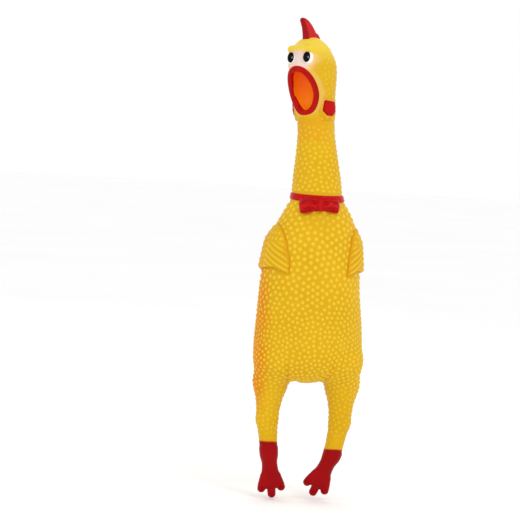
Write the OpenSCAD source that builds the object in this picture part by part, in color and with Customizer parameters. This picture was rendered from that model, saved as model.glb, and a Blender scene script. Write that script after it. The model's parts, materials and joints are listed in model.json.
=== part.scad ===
// Rubber chicken: a hollow soft skin that bends at neck, hips, knees and ankles, with a sound unit in its throat.
// Millimetres. +Z is up, the breast faces -Y, and the origin is the middle of the hand's grip round the torso.
// Heights in this file are counted from the lowest toe, and upright() moves them to the origin.

/* [Torso] */
// Widest part of the torso, side to side
torso_w = 91; // [86:1:96]
// Fullest part of the breast, in front of the body's axis
torso_front = 37.5; // [34:0.5:40]
// Fullest part of the back, behind the body's axis
torso_back = 32; // [29:0.5:34]
// Thickness of the moulded skin
wall = 2.5; // [2:0.1:3]
// Height of the middle of the grip above the lowest toe
grip_h = 170; // [160:1:180]

/* [Belly] */
// Width of the part of the belly that a squeeze pushes in
belly_w = 50; // [40:1:56]
// Its lower edge
belly_low = 126; // [120:1:135]
// Its upper edge
belly_high = 212; // [200:1:220]

/* [Neck] */
// Height of the lower neck's bend
neck_h = 266; // [264:1:268]
// Radius of the neck at that bend
neck_r = 19.6; // [19:0.1:20]
// Radius of the neck halfway up, where it tilts
mid_neck_r = 16.6; // [16:0.1:17]
// Radius of the neck under the head
top_neck_r = 14.9; // [14:0.1:15.5]
// Distance from the bend to the tilt, along the neck
tilt_up = 22; // [21:1:24]
// Distance from the bend to the head's base, along the neck
turn_up = 46.5; // [45:0.5:48]
// How far the neck leans towards -X
neck_lean = 4.5; // [0:0.5:8]
// Largest bend of the neck, each way
neck_swing = 40; // [20:1:40]

/* [Head] */
// How far the moulded head looks round towards -X
head_yaw = 45; // [0:1:60]
// Thickness of the comb
comb_t = 6.5; // [5:0.5:8]
// Radius of the rounded lip
lip_r = 3; // [2:0.1:3.5]

/* [Legs] */
// Distance of each hip from the body's axis
hip_x = 30.5; // [29:0.5:31]
// Height of the hips
hip_h = 94; // [92:1:95]
// Radius of the thigh at the hip
hip_r = 13.6; // [12:0.1:14]
// Height of the knees
knee_h = 66; // [64:1:68]
// Radius of the leg at the knee
knee_r = 9.6; // [9:0.1:10]
// Height of the ankles
ankle_h = 38; // [37:1:40]
// Radius of the leg at the ankle
ankle_r = 7.3; // [7:0.1:8]
// Largest swing of a hip or an ankle, each way
leg_swing = 40; // [20:1:40]
// Largest swing of a knee, outwards
knee_out = 45; // [20:1:45]
// Largest swing of a knee, towards the other leg
knee_in = 10; // [0:1:10]

/* [Sound unit] */
// Outer radius of the barrel
barrel_r = 7.5; // [7:0.1:8]
// Length of the barrel
barrel_l = 18; // [17:1:20]

/* [Hidden] */

$fn = 48;
gap = 0.3;              // clearance between two bodies at a bend
bite = 0.4;             // how deep a moulded-on feature sits in the skin
air_r = 4;              // air passage through the neck and legs
belly_gap = 0.4;        // clearance round the belly panel
loft_sides = 36;
collar_low = 250.4;     // the band round the base of the neck
collar_t = 5.6;
collar_r = 22.1;
rim_drop = 6;           // how far below the bend the torso's neck opening ends
torso_base = 97;
wing_t = 4;           // how far a wing stands out of the torso

yellow = [0.93, 0.74, 0.18];
red = [0.75, 0.10, 0.10];
dark_red = [0.64, 0.06, 0.08];
orange = [0.87, 0.38, 0.02];
white = [0.93, 0.87, 0.82];
black = [0.05, 0.05, 0.05];
plastic = [0.85, 0.85, 0.82];

// Torso rings: height, half width, front depth and back depth, the last three as shares of the fullest
torso_rows = [
    [torso_base, 0.60, 0.50, 0.50], [99, 0.77, 0.66, 0.67], [103, 0.88, 0.79, 0.79], [109, 0.95, 0.89, 0.90],
    [118, 0.99, 0.97, 0.97], [130, 1.00, 1.00, 1.00], [145, 0.98, 1.00, 0.99], [160, 0.954, 0.97, 0.97],
    [175, 0.928, 0.93, 0.95], [190, 0.908, 0.89, 0.93], [205, 0.868, 0.84, 0.91], [215, 0.813, 0.80, 0.88],
    [223, 0.758, 0.76, 0.84], [230, 0.714, 0.72, 0.80], [236, 0.648, 0.67, 0.75], [242, 0.575, 0.62, 0.70],
    [248, 0.478, 0.575, 0.66], [neck_h - rim_drop, 0.457, 0.555, 0.65]
];
// Head rings above the head's base: height, back, front and half width, and how far forward the ring's middle lies
head_rows = [
    [-2, 15.0, 15.0, 15.0, 0], [gap, 14.9, 14.9, 14.9, 0], [5, 15.6, 15.8, 15.8, 0], [10, 16.2, 16.4, 15.9, 0],
    [18, 16.5, 17.4, 15.8, 0], [28, 17.3, 19.4, 16.4, 0], [38, 18.6, 21.8, 17.0, 0.2], [46, 19.0, 23.0, 17.0, 0.6],
    [54, 18.4, 21.4, 16.5, 1.4], [61, 15.2, 17.9, 14.9, 3], [66, 11.3, 12.8, 12.0, 5], [69, 7.8, 9.2, 8.5, 5.4],
    [70.6, 4.4, 5, 4.8, 5.5]
];

// Middle of the mouth in the head's own frame, and the lip's outline round it
mouth_forward = 19.5;
mouth_up = 28.3;
mouth_half_w = 13;
mouth_half_h = 18;
mouth_tilt = 15;        // the upper beak stands further forward than the lower
mouth_depth = 14;
corner_back = 4;        // how far the corners of the mouth lie behind its middle

// Leg segments: side, lean of the thigh, shin and foot towards the middle
left_lean = [0, 6.5, 7];
right_lean = [-1, 10, 24];

// ---- helpers ----

module upright() translate([0, 0, -grip_h]) children();

function both(swing) = [-swing, swing];

function ring(h, a, front, back) = [
    for (i = [0 : loft_sides - 1])
        let (t = 360 * i / loft_sides) [a * cos(t), (sin(t) < 0 ? front : back) * sin(t), h]
];

// A closed skin through rings that all have the same number of points
module loft(rings) {
    n = len(rings[0]);
    m = len(rings);
    sides = [
        for (j = [0 : m - 2], i = [0 : n - 1])
            let (a = j * n + i, b = j * n + (i + 1) % n) each [[a, a + n, b + n], [a, b + n, b]]
    ];
    top = (m - 1) * n;
    ends = [for (i = [1 : n - 2]) each [[0, i, i + 1], [top, top + i + 1, top + i]]];
    polyhedron([for (r = rings) each r], concat(sides, ends));
}

// The torso's form, moved inwards by inset; the inner form runs out of the neck opening
module torso_form(inset) {
    rise = max(inset, 0);
    tall = neck_h - rim_drop - torso_base;
    stretch = rise > 0 ? (tall + 1) / tall : 1;
    loft([
        for (row = torso_rows)
            ring(
                torso_base + rise + (row[0] - torso_base) * stretch,
                torso_w / 2 * row[1] - inset, torso_front * row[2] - inset, torso_back * row[3] - inset
            )
    ]);
}

module head_form(inset)
    loft([
        for (row = head_rows)
            [
                for (q = ring(row[0] - (row[0] > 60 ? inset : 0), row[3] - inset, row[2] - inset, row[1] - inset))
                    q - [0, row[4], 0]
            ]
    ]);

// The neck's own line starts at its bend and leans; up is a distance along it
module on_neck(up) translate([0, 0, neck_h]) rotate([0, -neck_lean, 0]) translate([0, 0, up]) children();

// The head's frame: its face looks along its own -Y
module on_head() upright() on_neck(turn_up) rotate([0, 0, -head_yaw]) children();

// A point of a leg in the plane x-z: side is -1 on the viewer's left
function hip(side) = [side * hip_x, 0, hip_h];
function below(p, side, lean, drop) = p + [-side * drop * tan(lean), 0, -drop];
function knee(side, lean) = below(hip(side), side, lean[0], hip_h - knee_h);
function ankle(side, lean) = below(knee(side, lean), side, lean[1], knee_h - ankle_h);

// A frame at p whose -Z runs down a leg segment
module down_leg(p, side, lean) translate(p) rotate([0, side * lean, 0]) children();

// The room that a part's round end needs in its neighbour: its ball, and its shank at both ends of its swing
module swing_room(r, ends, axis, up) {
    sphere(r + gap);
    for (a = ends)
        rotate(a * axis) translate([0, 0, up ? 0 : -40]) cylinder(r = r + 2 * gap, h = 40);
}

// A round-ended hollow segment between two joints; its ball is at the origin and it runs along +Z
module segment(r1, r2, len) {
    sphere(r1);
    cylinder(r1 = r1, r2 = r2, h = len);
}

// ---- torso ----

module belly_prism(inset)
    translate([0, -20, (belly_low + belly_high) / 2]) rotate([90, 0, 0])
        linear_extrude(height = 60, center = true)
            rounded_box(belly_w - 2 * inset, belly_high - belly_low - 2 * inset, 14);

module rounded_box(w, h, r) {
    square([w - 2 * r, h], center = true);
    square([w, h - 2 * r], center = true);
    for (x = [-1, 1], y = [-1, 1]) translate([x * (w / 2 - r), y * (h / 2 - r)]) circle(r);
}

module front_half() translate([0, -50, 170]) cube([120, 100, 220], center = true);

module torso_shell()
    color(yellow) upright() difference() {
        torso_form(0);
        torso_form(wall);
        intersection() {
            belly_prism(0);
            front_half();
        }
        translate([0, 0, neck_h]) swing_room(neck_r, both(neck_swing), [1, 0, 0], true);
        for (side = [-1, 1]) {
            translate(hip(side)) swing_room(hip_r, both(leg_swing), [1, 0, 0], false);
            translate([side * hip_x, 0, hip_h - 10]) cylinder(r = hip_r + 1, h = 16);
        }
    }

module belly_panel()
    color(yellow) upright() intersection() {
        difference() {
            torso_form(0);
            torso_form(wall);
        }
        belly_prism(belly_gap);
        front_half();
    }

module collar_band()
    color(red) upright() translate([0, 0, collar_low]) rotate_extrude()
        polygon([
            [20.5, 0], [collar_r - 0.9, 0], [collar_r, 1], [collar_r, collar_t - 1], [collar_r - 0.9, collar_t],
            [20.5, collar_t]
        ]);

// One loop of the bow, from the knot outwards along +X, and wrapped back round the neck
module bow_loop()
    rotate([0, 0, 20]) hull() {
        translate([2, -2.5, 0]) rotate([0, 90, 0]) cylinder(r = 3.4, h = 1, $fn = 24);
        translate([12, -2.2, -0.8]) scale([1, 0.55, 1.6]) sphere(4.6, $fn = 24);
    }

module bow_tie()
    color(red) upright() translate([0, -22.6, 246.6]) rotate([0, -3, 0])
        for (side = [0, 1]) mirror([side, 0, 0]) bow_loop();

module bow_knot()
    color(red) upright() translate([0, -25.2, 246.8]) {
        cylinder(r = 3, h = 8, center = true);
        for (end = [-1, 1]) translate([0, 0, end * 4]) sphere(3);
    }

// The outline of a folded wing, seen from the side: x is towards the tail, y is up
module wing_outline()
    polygon([
        [-17, 223], [-12, 228], [-6, 229.5], [2, 228], [9, 222], [15, 212], [19, 200], [20, 191], [15, 188.5],
        [4, 190], [-8, 192.5], [-18, 192], [-23.8, 190], [-23.8, 204], [-21, 214]
    ]);

module wing(side)
    color(yellow) upright() intersection() {
        difference() {
            torso_form(-wing_t);
            torso_form(bite);
        }
        translate([side * 35, 0, 0]) rotate([90, 0, 90]) linear_extrude(height = 50, center = true) wing_outline();
    }

module left_wing() wing(-1);
module right_wing() wing(1);

module tail()
    color(yellow) upright() hull() {
        translate([0, 28.5, 122]) sphere(9, $fn = 24);
        translate([0, 38, 113]) sphere(4, $fn = 24);
    }

// ---- neck ----

module neck_lower()
    color(yellow) upright() difference() {
        union() {
            translate([0, 0, neck_h]) sphere(neck_r);
            on_neck(0) cylinder(r1 = neck_r, r2 = mid_neck_r + 0.7, h = tilt_up - rim_drop);
        }
        translate([0, 0, neck_h]) intersection() {
            sphere(neck_r - wall);
            translate([0, 0, -25 + 2]) cube([50, 50, 50], center = true);
        }
        on_neck(tilt_up) swing_room(mid_neck_r, both(neck_swing), [0, 1, 0], true);
        on_neck(-25) cylinder(r = air_r, h = 60);
    }

module neck_upper()
    color(yellow) upright() difference() {
        on_neck(tilt_up) segment(mid_neck_r, top_neck_r, turn_up - tilt_up);
        on_neck(tilt_up) sphere(mid_neck_r - wall);
        on_neck(tilt_up) cylinder(r = top_neck_r - wall, h = turn_up);
        on_neck(0) cylinder(r = air_r, h = 60);
    }

// ---- head ----

// A ring round the mouth: share scales it, and back moves it into the head
function mouth_ring(share, back) = [
    for (i = [0 : loft_sides - 1])
        let (
            t = 360 * i / loft_sides,
            across = mouth_half_w * share * cos(t),
            along = mouth_half_h * share * sin(t),
            f = along * sin(mouth_tilt) - corner_back * cos(t) * cos(t) - back
        ) [across, -(mouth_forward + f), mouth_up + along * cos(mouth_tilt)]
];

// The mouth's hollow as a loft from the lips inwards; extra widens it
module mouth_hollow(extra)
    loft([
        mouth_ring(0.45 + extra, mouth_depth + extra * 12), mouth_ring(0.78 + extra, 10),
        mouth_ring(0.95 + extra, 5), mouth_ring(1 + extra, 0), mouth_ring(1 + extra, -16)
    ]);

module head_shell()
    color(yellow) on_head() difference() {
        head_form(0);
        head_form(wall);
        translate([0, 0, gap - 20]) cylinder(r = 30, h = 20);
        mouth_hollow(0.02);
    }

module comb()
    color(red) on_head() rotate([90, 0, -90]) linear_extrude(height = comb_t, center = true)
        polygon([
            [14, 65], [12.8, 70], [13.2, 75], [14.4, 79.5], [16.6, 83.6], [18.4, 86.6], [16.8, 88], [13.6, 87.8],
            [9.4, 86.2], [5, 82.6], [1.6, 78], [0, 75.6], [-2.4, 74.8], [-4.2, 72], [-5, 69], [-5, 65]
        ]);

// A rounded bar from a to b
module rounded_bar(a, b, r)
    hull() for (p = [a, b]) translate(p) sphere(r, $fn = 16);

module brow()
    color(yellow) on_head() for (side = [-1, 1]) {
        rounded_bar([0, -19.6, 62], [side * 8, -18.4, 63], 2.6);
        rounded_bar([side * 8, -18.4, 63], [side * 13.4, -10.5, 61], 2.2);
    }

module eye_white(side)
    color(white) on_head() translate([side * 7.7, -17.6, 54.3]) sphere(6.8);

module left_eye_white() eye_white(-1);
module right_eye_white() eye_white(1);

module pupil(side)
    color(black) on_head() translate([side * 7.7, -17.6, 54.8]) rotate([0, 0, side * 6]) rotate([90, 0, 0])
        translate([0, 0, 5.6]) scale([0.75, 1, 1]) cylinder(r = 4.2, h = 1.5, $fn = 24);

module left_pupil() pupil(-1);
module right_pupil() pupil(1);

// The lip is a round bar that follows the mouth's outline
module lip_ring() {
    bar_sides = 10;
    line = mouth_ring(1, -0.5);
    centre = [0, -mouth_forward, mouth_up];
    n = len(line);
    points = [
        for (i = [0 : n - 1])
            let (
                along = line[(i + 1) % n] - line[(i + n - 1) % n],
                dir = along / norm(along),
                out = line[i] - centre,
                flat = out - (out * dir) * dir,
                u = flat / norm(flat),
                v = cross(dir, u)
            )
                for (k = [0 : bar_sides - 1])
                    let (a = 360 * k / bar_sides) line[i] + lip_r * (cos(a) * u + sin(a) * v)
    ];
    faces = [
        for (i = [0 : n - 1], k = [0 : bar_sides - 1])
            let (
                a = i * bar_sides + k,
                b = i * bar_sides + (k + 1) % bar_sides,
                c = ((i + 1) % n) * bar_sides + (k + 1) % bar_sides,
                d = ((i + 1) % n) * bar_sides + k
            ) each [[a, b, c], [a, c, d]]
    ];
    color(red) on_head() polyhedron(points, faces);
}

module mouth_lining()
    color(orange) on_head() difference() {
        loft([
            mouth_ring(0.5, mouth_depth), mouth_ring(0.8, 10), mouth_ring(0.95, 5), mouth_ring(1.0, 0.5)
        ]);
        loft([
            mouth_ring(0.36, mouth_depth - 1.5), mouth_ring(0.66, 9.5), mouth_ring(0.82, 5), mouth_ring(0.88, 0),
            mouth_ring(0.9, -6)
        ]);
        translate([0, 0, mouth_up - 4]) rotate([90, 0, 0]) cylinder(r = 2, h = 12);
    }

module wattle(side)
    color(red) on_head() translate([side * 16.6, -2.4, 12.8]) rotate([0, side * -3, 0]) rotate([0, 90, 0]) hull() {
        translate([-3.6, 0, -1.6]) cylinder(r = 3, h = 3.2, $fn = 24);
        translate([3, 1.4, -1.6]) cylinder(r = 4.6, h = 3.2, $fn = 24);
    }

module left_wattle() wattle(-1);
module right_wattle() wattle(1);

// ---- sound unit ----

barrel_at = [0, 6, 4];      // its lower end in the head's frame; the throat's skin grips its back

module on_barrel() on_head() translate(barrel_at) children();

module squeaker_housing()
    color(plastic) on_barrel() difference() {
        cylinder(r = barrel_r, h = barrel_l);
        translate([0, 0, -1]) cylinder(r = barrel_r - 1.5, h = barrel_l + 2);
    }

seat_r = barrel_r - 1.6;    // a push fit in the barrel
reed_w = 6;
reed_l = 10;
reed_t = 0.4;
reed_y = -1.2;              // the face that the reed lies along

module reed_seat()
    color(plastic) on_barrel() difference() {
        union() {
            translate([0, 0, 1]) cylinder(r = seat_r, h = 3);
            intersection() {
                translate([0, 0, 4]) cylinder(r = 4, h = reed_l);
                translate([-5, reed_y, 4]) cube([10, 10, reed_l]);
            }
        }
        translate([0, 1, -1]) cylinder(r = 1.6, h = reed_l + 2);
    }

module squeaker_cap()
    color(plastic) on_barrel() translate([0, 0, barrel_l - 2.4]) difference() {
        cylinder(r = seat_r, h = 2);
        for (a = [0 : 60 : 300]) rotate([0, 0, a]) translate([3.5, 0, -1]) cylinder(r = 0.8, h = 4);
        translate([0, 0, -1]) cylinder(r = 0.8, h = 4);
    }

module reed_tongue()
    color(black) on_barrel() translate([-reed_w / 2, reed_y - reed_t - 0.5, 4.4]) cube([reed_w, reed_t, reed_l]);

// ---- legs ----

module thigh(side, lean)
    color(yellow) upright() difference() {
        down_leg(hip(side), side, lean[0]) mirror([0, 0, 1]) segment(hip_r, knee_r, hip_h - knee_h - 4);
        down_leg(hip(side), side, lean[0]) sphere(hip_r - wall);
        down_leg(hip(side), side, lean[0]) translate([0, 0, -40]) cylinder(r = air_r, h = 60);
        down_leg(knee(side, lean), side, lean[1])
            swing_room(knee_r, [side * knee_in, -side * knee_out], [0, 1, 0], false);
    }

module shin(side, lean)
    color(yellow) upright() difference() {
        down_leg(knee(side, lean), side, lean[1]) mirror([0, 0, 1])
            segment(knee_r, ankle_r, knee_h - ankle_h - 3);
        down_leg(knee(side, lean), side, lean[1]) sphere(knee_r - wall);
        down_leg(knee(side, lean), side, lean[1]) translate([0, 0, -40]) cylinder(r = air_r - 1, h = 60);
        down_leg(ankle(side, lean), side, lean[2]) swing_room(ankle_r, both(leg_swing), [1, 0, 0], false);
    }

// Toes of one foot: sideways place, tip's height above the foot's end, and splay
toes = [[-8, 4.6, -13], [0, 0, 0], [8, 4.6, 13]];
toe_r = 3.5;
foot_l = 38.3;              // from the ankle's middle to the middle toe's tip

module at_toe(toe) translate([toe[0], 0, -foot_l + toe[1] + toe_r]) rotate([0, -toe[2], 0]) children();

module foot(side, lean)
    color(dark_red) upright() down_leg(ankle(side, lean), side, lean[2]) {
        sphere(ankle_r);
        hull() {
            translate([0, 0, -4]) cylinder(r = ankle_r - 0.4, h = 4, $fn = 32);
            translate([0, 0, -14]) scale([1.15, 0.95, 1]) cylinder(r = 6.4, h = 2, $fn = 32);
        }
        hull() {
            translate([0, 0, -14]) scale([1.15, 0.95, 1]) cylinder(r = 6.4, h = 2, $fn = 32);
            for (x = [-6.5, 6.5]) translate([x, 0, -25.5]) sphere(4.8, $fn = 24);
        }
        for (toe = toes) at_toe(toe) {
            sphere(toe_r);
            cylinder(r = toe_r, h = 8);
        }
    }

module toenails(side, lean)
    color(dark_red) upright() down_leg(ankle(side, lean), side, lean[2])
        for (toe = toes) at_toe(toe) translate([0, -toe_r + 0.6, 1]) rotate([90, 0, 0]) cylinder(r = 2.4, h = 1.2);

module left_thigh() thigh(-1, left_lean);
module left_shin() shin(-1, left_lean);
module left_foot() foot(-1, left_lean);
module left_toenails() toenails(-1, left_lean);
module right_thigh() thigh(1, right_lean);
module right_shin() shin(1, right_lean);
module right_foot() foot(1, right_lean);
module right_toenails() toenails(1, right_lean);

torso_shell();
collar_band();
bow_tie();
bow_knot();
left_wing();
right_wing();
tail();
belly_panel();
neck_lower();
neck_upper();
head_shell();
comb();
brow();
left_eye_white();
right_eye_white();
left_pupil();
right_pupil();
lip_ring();
mouth_lining();
left_wattle();
right_wattle();
squeaker_housing();
reed_seat();
squeaker_cap();
reed_tongue();
left_thigh();
left_shin();
left_foot();
left_toenails();
right_thigh();
right_shin();
right_foot();
right_toenails();
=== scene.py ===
"""Looks of the rubber chicken: one soft skin cut into pieces that bend, and the parts moulded on it.

Shapes are worked out in millimetres as (x, y, h): x to the viewer's right, y to the chicken's back and h
above the lowest toe. The pieces named left are on the viewer's left, where x is below zero. Each shape is a
signed distance field, below zero inside, and mesh_field() turns a field into a mesh.
"""

import itertools
import json
import math

import bmesh
import bpy
import numpy as np
import openvdb
from mathutils import Matrix, Vector, kdtree


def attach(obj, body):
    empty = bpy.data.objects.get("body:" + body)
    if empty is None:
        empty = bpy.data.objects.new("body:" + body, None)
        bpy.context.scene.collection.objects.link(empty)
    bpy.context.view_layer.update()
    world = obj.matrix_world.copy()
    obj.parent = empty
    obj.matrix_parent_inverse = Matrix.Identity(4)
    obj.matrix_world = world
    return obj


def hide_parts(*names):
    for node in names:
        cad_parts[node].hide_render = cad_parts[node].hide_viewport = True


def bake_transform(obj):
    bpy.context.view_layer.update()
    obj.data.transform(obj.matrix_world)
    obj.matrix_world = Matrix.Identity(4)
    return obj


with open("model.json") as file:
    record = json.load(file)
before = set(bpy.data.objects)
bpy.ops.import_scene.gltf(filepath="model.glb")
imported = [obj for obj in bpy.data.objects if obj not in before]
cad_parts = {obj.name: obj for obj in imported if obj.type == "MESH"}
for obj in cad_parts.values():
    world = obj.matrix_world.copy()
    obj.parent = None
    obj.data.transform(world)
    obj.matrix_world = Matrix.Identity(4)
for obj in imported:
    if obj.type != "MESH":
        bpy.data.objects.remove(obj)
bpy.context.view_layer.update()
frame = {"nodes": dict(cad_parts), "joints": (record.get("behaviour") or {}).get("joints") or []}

MM = 0.001
GRIP_H = 170.0
SEED = 7

# ---- places that come from the frame ----

joint_at = {j["name"]: np.array(j["pos_m"]) / MM + [0, 0, GRIP_H] for j in frame["joints"] if "pos_m" in j}
neck_bend = joint_at["neck_bend"]
head_base = joint_at["head_turn"]
neck_lean = math.atan2(neck_bend[0] - head_base[0], head_base[2] - neck_bend[2])
HEAD_YAW = math.radians(45)


def to_row(points):
    """Millimetres above the toes to metres in the row's frame."""
    return (np.asarray(points, float) - [0, 0, GRIP_H]) * MM


def head_axes():
    """Directions of the head's right-hand side, front and top, as a viewer in front of the face sees them."""
    yaw_cos, yaw_sin = math.cos(HEAD_YAW), math.sin(HEAD_YAW)
    lean_cos, lean_sin = math.cos(neck_lean), math.sin(neck_lean)
    top = np.array([-lean_sin, 0, lean_cos])
    side = np.array([yaw_cos * lean_cos, -yaw_sin, yaw_cos * lean_sin])
    return side, -np.cross(top, side), top


HEAD_SIDE, HEAD_FRONT, HEAD_TOP = head_axes()


def in_head(p):
    """Points as distances to the head's side, front and top, from the head's base."""
    q = p - head_base
    return q @ HEAD_SIDE, q @ HEAD_FRONT, q @ HEAD_TOP


def from_head(side, front, top):
    """The other way round: the point that lies so far to the head's side, front and top."""
    side, front, top = np.broadcast_arrays(np.asarray(side, float), front, top)
    return head_base + side[..., None] * HEAD_SIDE + front[..., None] * HEAD_FRONT + top[..., None] * HEAD_TOP


# ---- fields ----


def smoothstep(lo, hi, v):
    """A soft step from 0 at lo to 1 at hi. With lo above hi it falls instead."""
    t = np.clip((v - lo) / (hi - lo), 0, 1)
    return t * t * (3 - 2 * t)


def join(a, b, k):
    """Union of two fields with a fillet of about k."""
    t = np.clip(0.5 + 0.5 * (b - a) / k, 0, 1)
    return b + (a - b) * t - k * t * (1 - t)


def cut(a, b, k):
    """Field a without field b."""
    return -join(-a, b, k)


def both(a, b, r):
    """Where fields a and b overlap, with edges rounded to radius r."""
    u, v = a + r, b + r
    return np.minimum(np.maximum(u, v), 0) + np.hypot(np.maximum(u, 0), np.maximum(v, 0)) - r


def through(rows, column, at):
    """A smooth curve through one column of rows, which are sorted by their first column."""
    x, y = rows[:, 0], rows[:, column]
    slope = np.gradient(y, x)
    i = np.clip(np.searchsorted(x, at) - 1, 0, len(x) - 2)
    step = x[i + 1] - x[i]
    t = np.clip((at - x[i]) / step, 0, 1)
    s = 1 - t
    return (
        (1 + 2 * t) * s * s * y[i] + t * s * s * step * slope[i]
        + t * t * (3 - 2 * t) * y[i + 1] - t * t * s * step * slope[i + 1]
    )


def loft(rows, x, y, h):
    """Ovals stacked along h: rows give h, half width, front depth (-y) and back depth."""
    wide = through(rows, 1, h)
    deep = np.where(y < 0, through(rows, 2, h), through(rows, 3, h))
    r = np.hypot(x, y) + 1e-6
    return r - r / np.sqrt((x / wide) ** 2 + (y / deep) ** 2 + 1e-12)


def ellipsoid(p, centre, radii):
    q = (p - centre) / radii
    k = np.linalg.norm(q, axis=-1) + 1e-9
    return k * (k - 1) / (np.linalg.norm(q / radii, axis=-1) + 1e-9)


def cone(p, a, b, ra, rb):
    """A bar with round ends from a to b, whose radius runs from ra to rb."""
    a, b = np.asarray(a, float), np.asarray(b, float)
    line = b - a
    t = np.clip((p - a) @ line / (line @ line), 0, 1)
    return np.linalg.norm(p - a - t[..., None] * line, axis=-1) - (ra + (rb - ra) * t)


def outline(corners, u, v):
    """Distance from the closed outline through corners."""
    corners = np.array(corners, float)
    best = np.full(u.shape, 1e9)
    inside = np.zeros(u.shape, bool)
    for (ax, ay), (bx, by) in zip(corners, np.roll(corners, -1, axis=0)):
        ex, ey = bx - ax, by - ay
        t = np.clip(((u - ax) * ex + (v - ay) * ey) / (ex * ex + ey * ey), 0, 1)
        best = np.minimum(best, np.hypot(u - ax - t * ex, v - ay - t * ey))
        if ay != by:
            crosses = ((ay > v) != (by > v)) & (u < ex * (v - ay) / ey + ax)
            inside ^= crosses
    return np.where(inside, -best, best)


# ---- the torso and neck ----

# Height, half width, front depth and back depth
TRUNK = np.array([
    [90, 43.4, 33.0, 28.5], [105, 43.8, 34.5, 29.5], [118, 44.5, 36.5, 31.0], [130, 44.8, 37.4, 32.0],
    [145, 44.0, 37.4, 31.7], [160, 42.8, 36.2, 31.0], [175, 41.6, 34.9, 30.3], [190, 40.6, 33.5, 29.8],
    [205, 38.8, 31.5, 29.0], [215, 36.6, 30.0, 28.0], [223, 34.2, 28.5, 27.0], [230, 32.0, 26.9, 25.6],
    [236, 29.2, 25.1, 24.0], [242, 26.0, 23.2, 22.4], [248, 22.6, 21.6, 21.2], [254, 21.0, 20.8, 20.8],
    [260, 20.3, 20.3, 20.3], [266, 19.8, 19.8, 19.8], [276, 18.5, 18.5, 18.5], [288, 16.9, 16.9, 16.9],
    [300, 15.7, 15.7, 15.7], [312, 14.8, 14.8, 14.8], [330, 14.0, 14.0, 14.0],
])
TRUNK_LOW, TRUNK_LOW_R = 101, 18            # height of the torso's lower end, and how round its rim is
TRUNK_HIGH, TRUNK_HIGH_R = 317, 6           # the same for the neck's upper end, which is inside the head
# Where the outline sways sideways: how far, round which height, and over how much height
SWAYS = [(1.6, 238, 16), (-1.2, 178, 24)]
LEAN_SOFT = 8                               # how gently the neck starts to lean
BELLY = np.array([-2, -4, 125.5])
BELLY_R = np.array([23.5, 34.2, 27.2])


def trunk(p):
    """Torso and neck, without legs."""
    x, y, h = p[..., 0], p[..., 1], p[..., 2]
    over = h - neck_bend[2]
    lean = 0.5 * math.tan(neck_lean) * (over + np.sqrt(over * over + LEAN_SOFT**2))
    sway = sum(far * np.exp(-(((h - at) / spread) ** 2)) for far, at, spread in SWAYS)
    d = both(loft(TRUNK, x + lean - sway, y, h), TRUNK_LOW - h, TRUNK_LOW_R)
    d = both(d, h - TRUNK_HIGH, TRUNK_HIGH_R)
    return join(d, ellipsoid(p, BELLY, BELLY_R), 4)


CREASE_DEEP = 1.2
CREASE_HALF_W = 1.7


def crease(p):
    """How deep the fold between the belly and each thigh is. The two folds spread a little as they rise."""
    x, y, h = p.T
    off = np.abs(x - BELLY[0]) - 15.5 - 0.2 * (h - 98)
    on_front = smoothstep(126, 112, h) * smoothstep(-4, -16, y)
    return CREASE_DEEP * np.exp(-((off / CREASE_HALF_W) ** 2)) * on_front


def tail(p):
    """The short stub at the back."""
    return cone(p, [0, 28.5, 122], [0, 37.6, 113.5], 8.6, 4)


# ---- legs ----

LEGS = {
    "left": {"side": -1, "foot_lean": math.radians(7), "inward": 0.8},
    "right": {"side": 1, "foot_lean": math.radians(24), "inward": 0},
}
FOOT_L = 38.3
WEB_END = 30.4                      # where the web between the toes ends, down from the ankle
TOE_R = 3.4
TOES = [(-8.3, 5.2), (0, 0), (8.3, 5.2)]    # sideways place, and height of the tip over the foot's end
# Distance down from the ankle, half width, front depth and back depth
FOOT = np.array([
    [-4, 7.2, 7.2, 7.2], [4, 6.8, 6.9, 6.9], [10, 6.5, 6.4, 6.2], [15, 7.0, 5.8, 5.4], [20, 8.4, 5.4, 4.8],
    [24.5, 10.2, 5.1, 4.5], [29, 11.4, 4.9, 4.3], [34, 11.7, 4.6, 4.0],
])


def hip(name):
    return joint_at[name + "_hip_swing"]


def knee(name):
    return joint_at[name + "_knee_splay"]


def ankle(name):
    return joint_at[name + "_ankle_flex"]


THIGH_BULGE = (27.6, -11, 117)      # sideways, y and height of the place where the thigh swells
THIGH_R = (17.2, 13.1, 8.4)         # at the bulge, the hip and the knee
SHIN_R = (8.5, 7.1)                 # at the knee and the ankle


def foot_axes(name):
    """Directions across and down a foot."""
    side, lean = LEGS[name]["side"], LEGS[name]["foot_lean"]
    down = np.array([-side * math.sin(lean), 0, -math.cos(lean)])
    return np.array([-down[2], 0, down[0]]), down


def in_foot(p, name):
    """Points as distances across, behind and down from the ankle."""
    across, down = foot_axes(name)
    q = p - ankle(name)
    return np.stack([q @ across, q[..., 1], q @ down], axis=-1)


def leg(p, name):
    """One whole leg with its foot and toes."""
    bulge_at = np.array(THIGH_BULGE) * [LEGS[name]["side"], 1, 1]
    top = hip(name) + [LEGS[name]["inward"], -2, 3]
    bulge = cone(p, bulge_at, top, THIGH_R[0], THIGH_R[1])
    d = join(bulge, cone(p, top, knee(name), THIGH_R[1], THIGH_R[2]), 6)
    d = join(d, cone(p, knee(name), ankle(name) + [0, 0, -1], *SHIN_R), 4)
    q = in_foot(p, name)
    down = q[..., 2]
    foot = both(both(loft(FOOT, q[..., 0], q[..., 1], down), down - WEB_END, 4), FOOT[0, 0] - down, 1)
    for x, up in TOES:
        tip = [x, -0.4, FOOT_L - up - TOE_R]
        foot = join(foot, cone(q, [x * 0.6, -0.6, 20], tip, 3.8, TOE_R), 1.0)
    return join(d, foot, 3)


# ---- head ----

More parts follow.
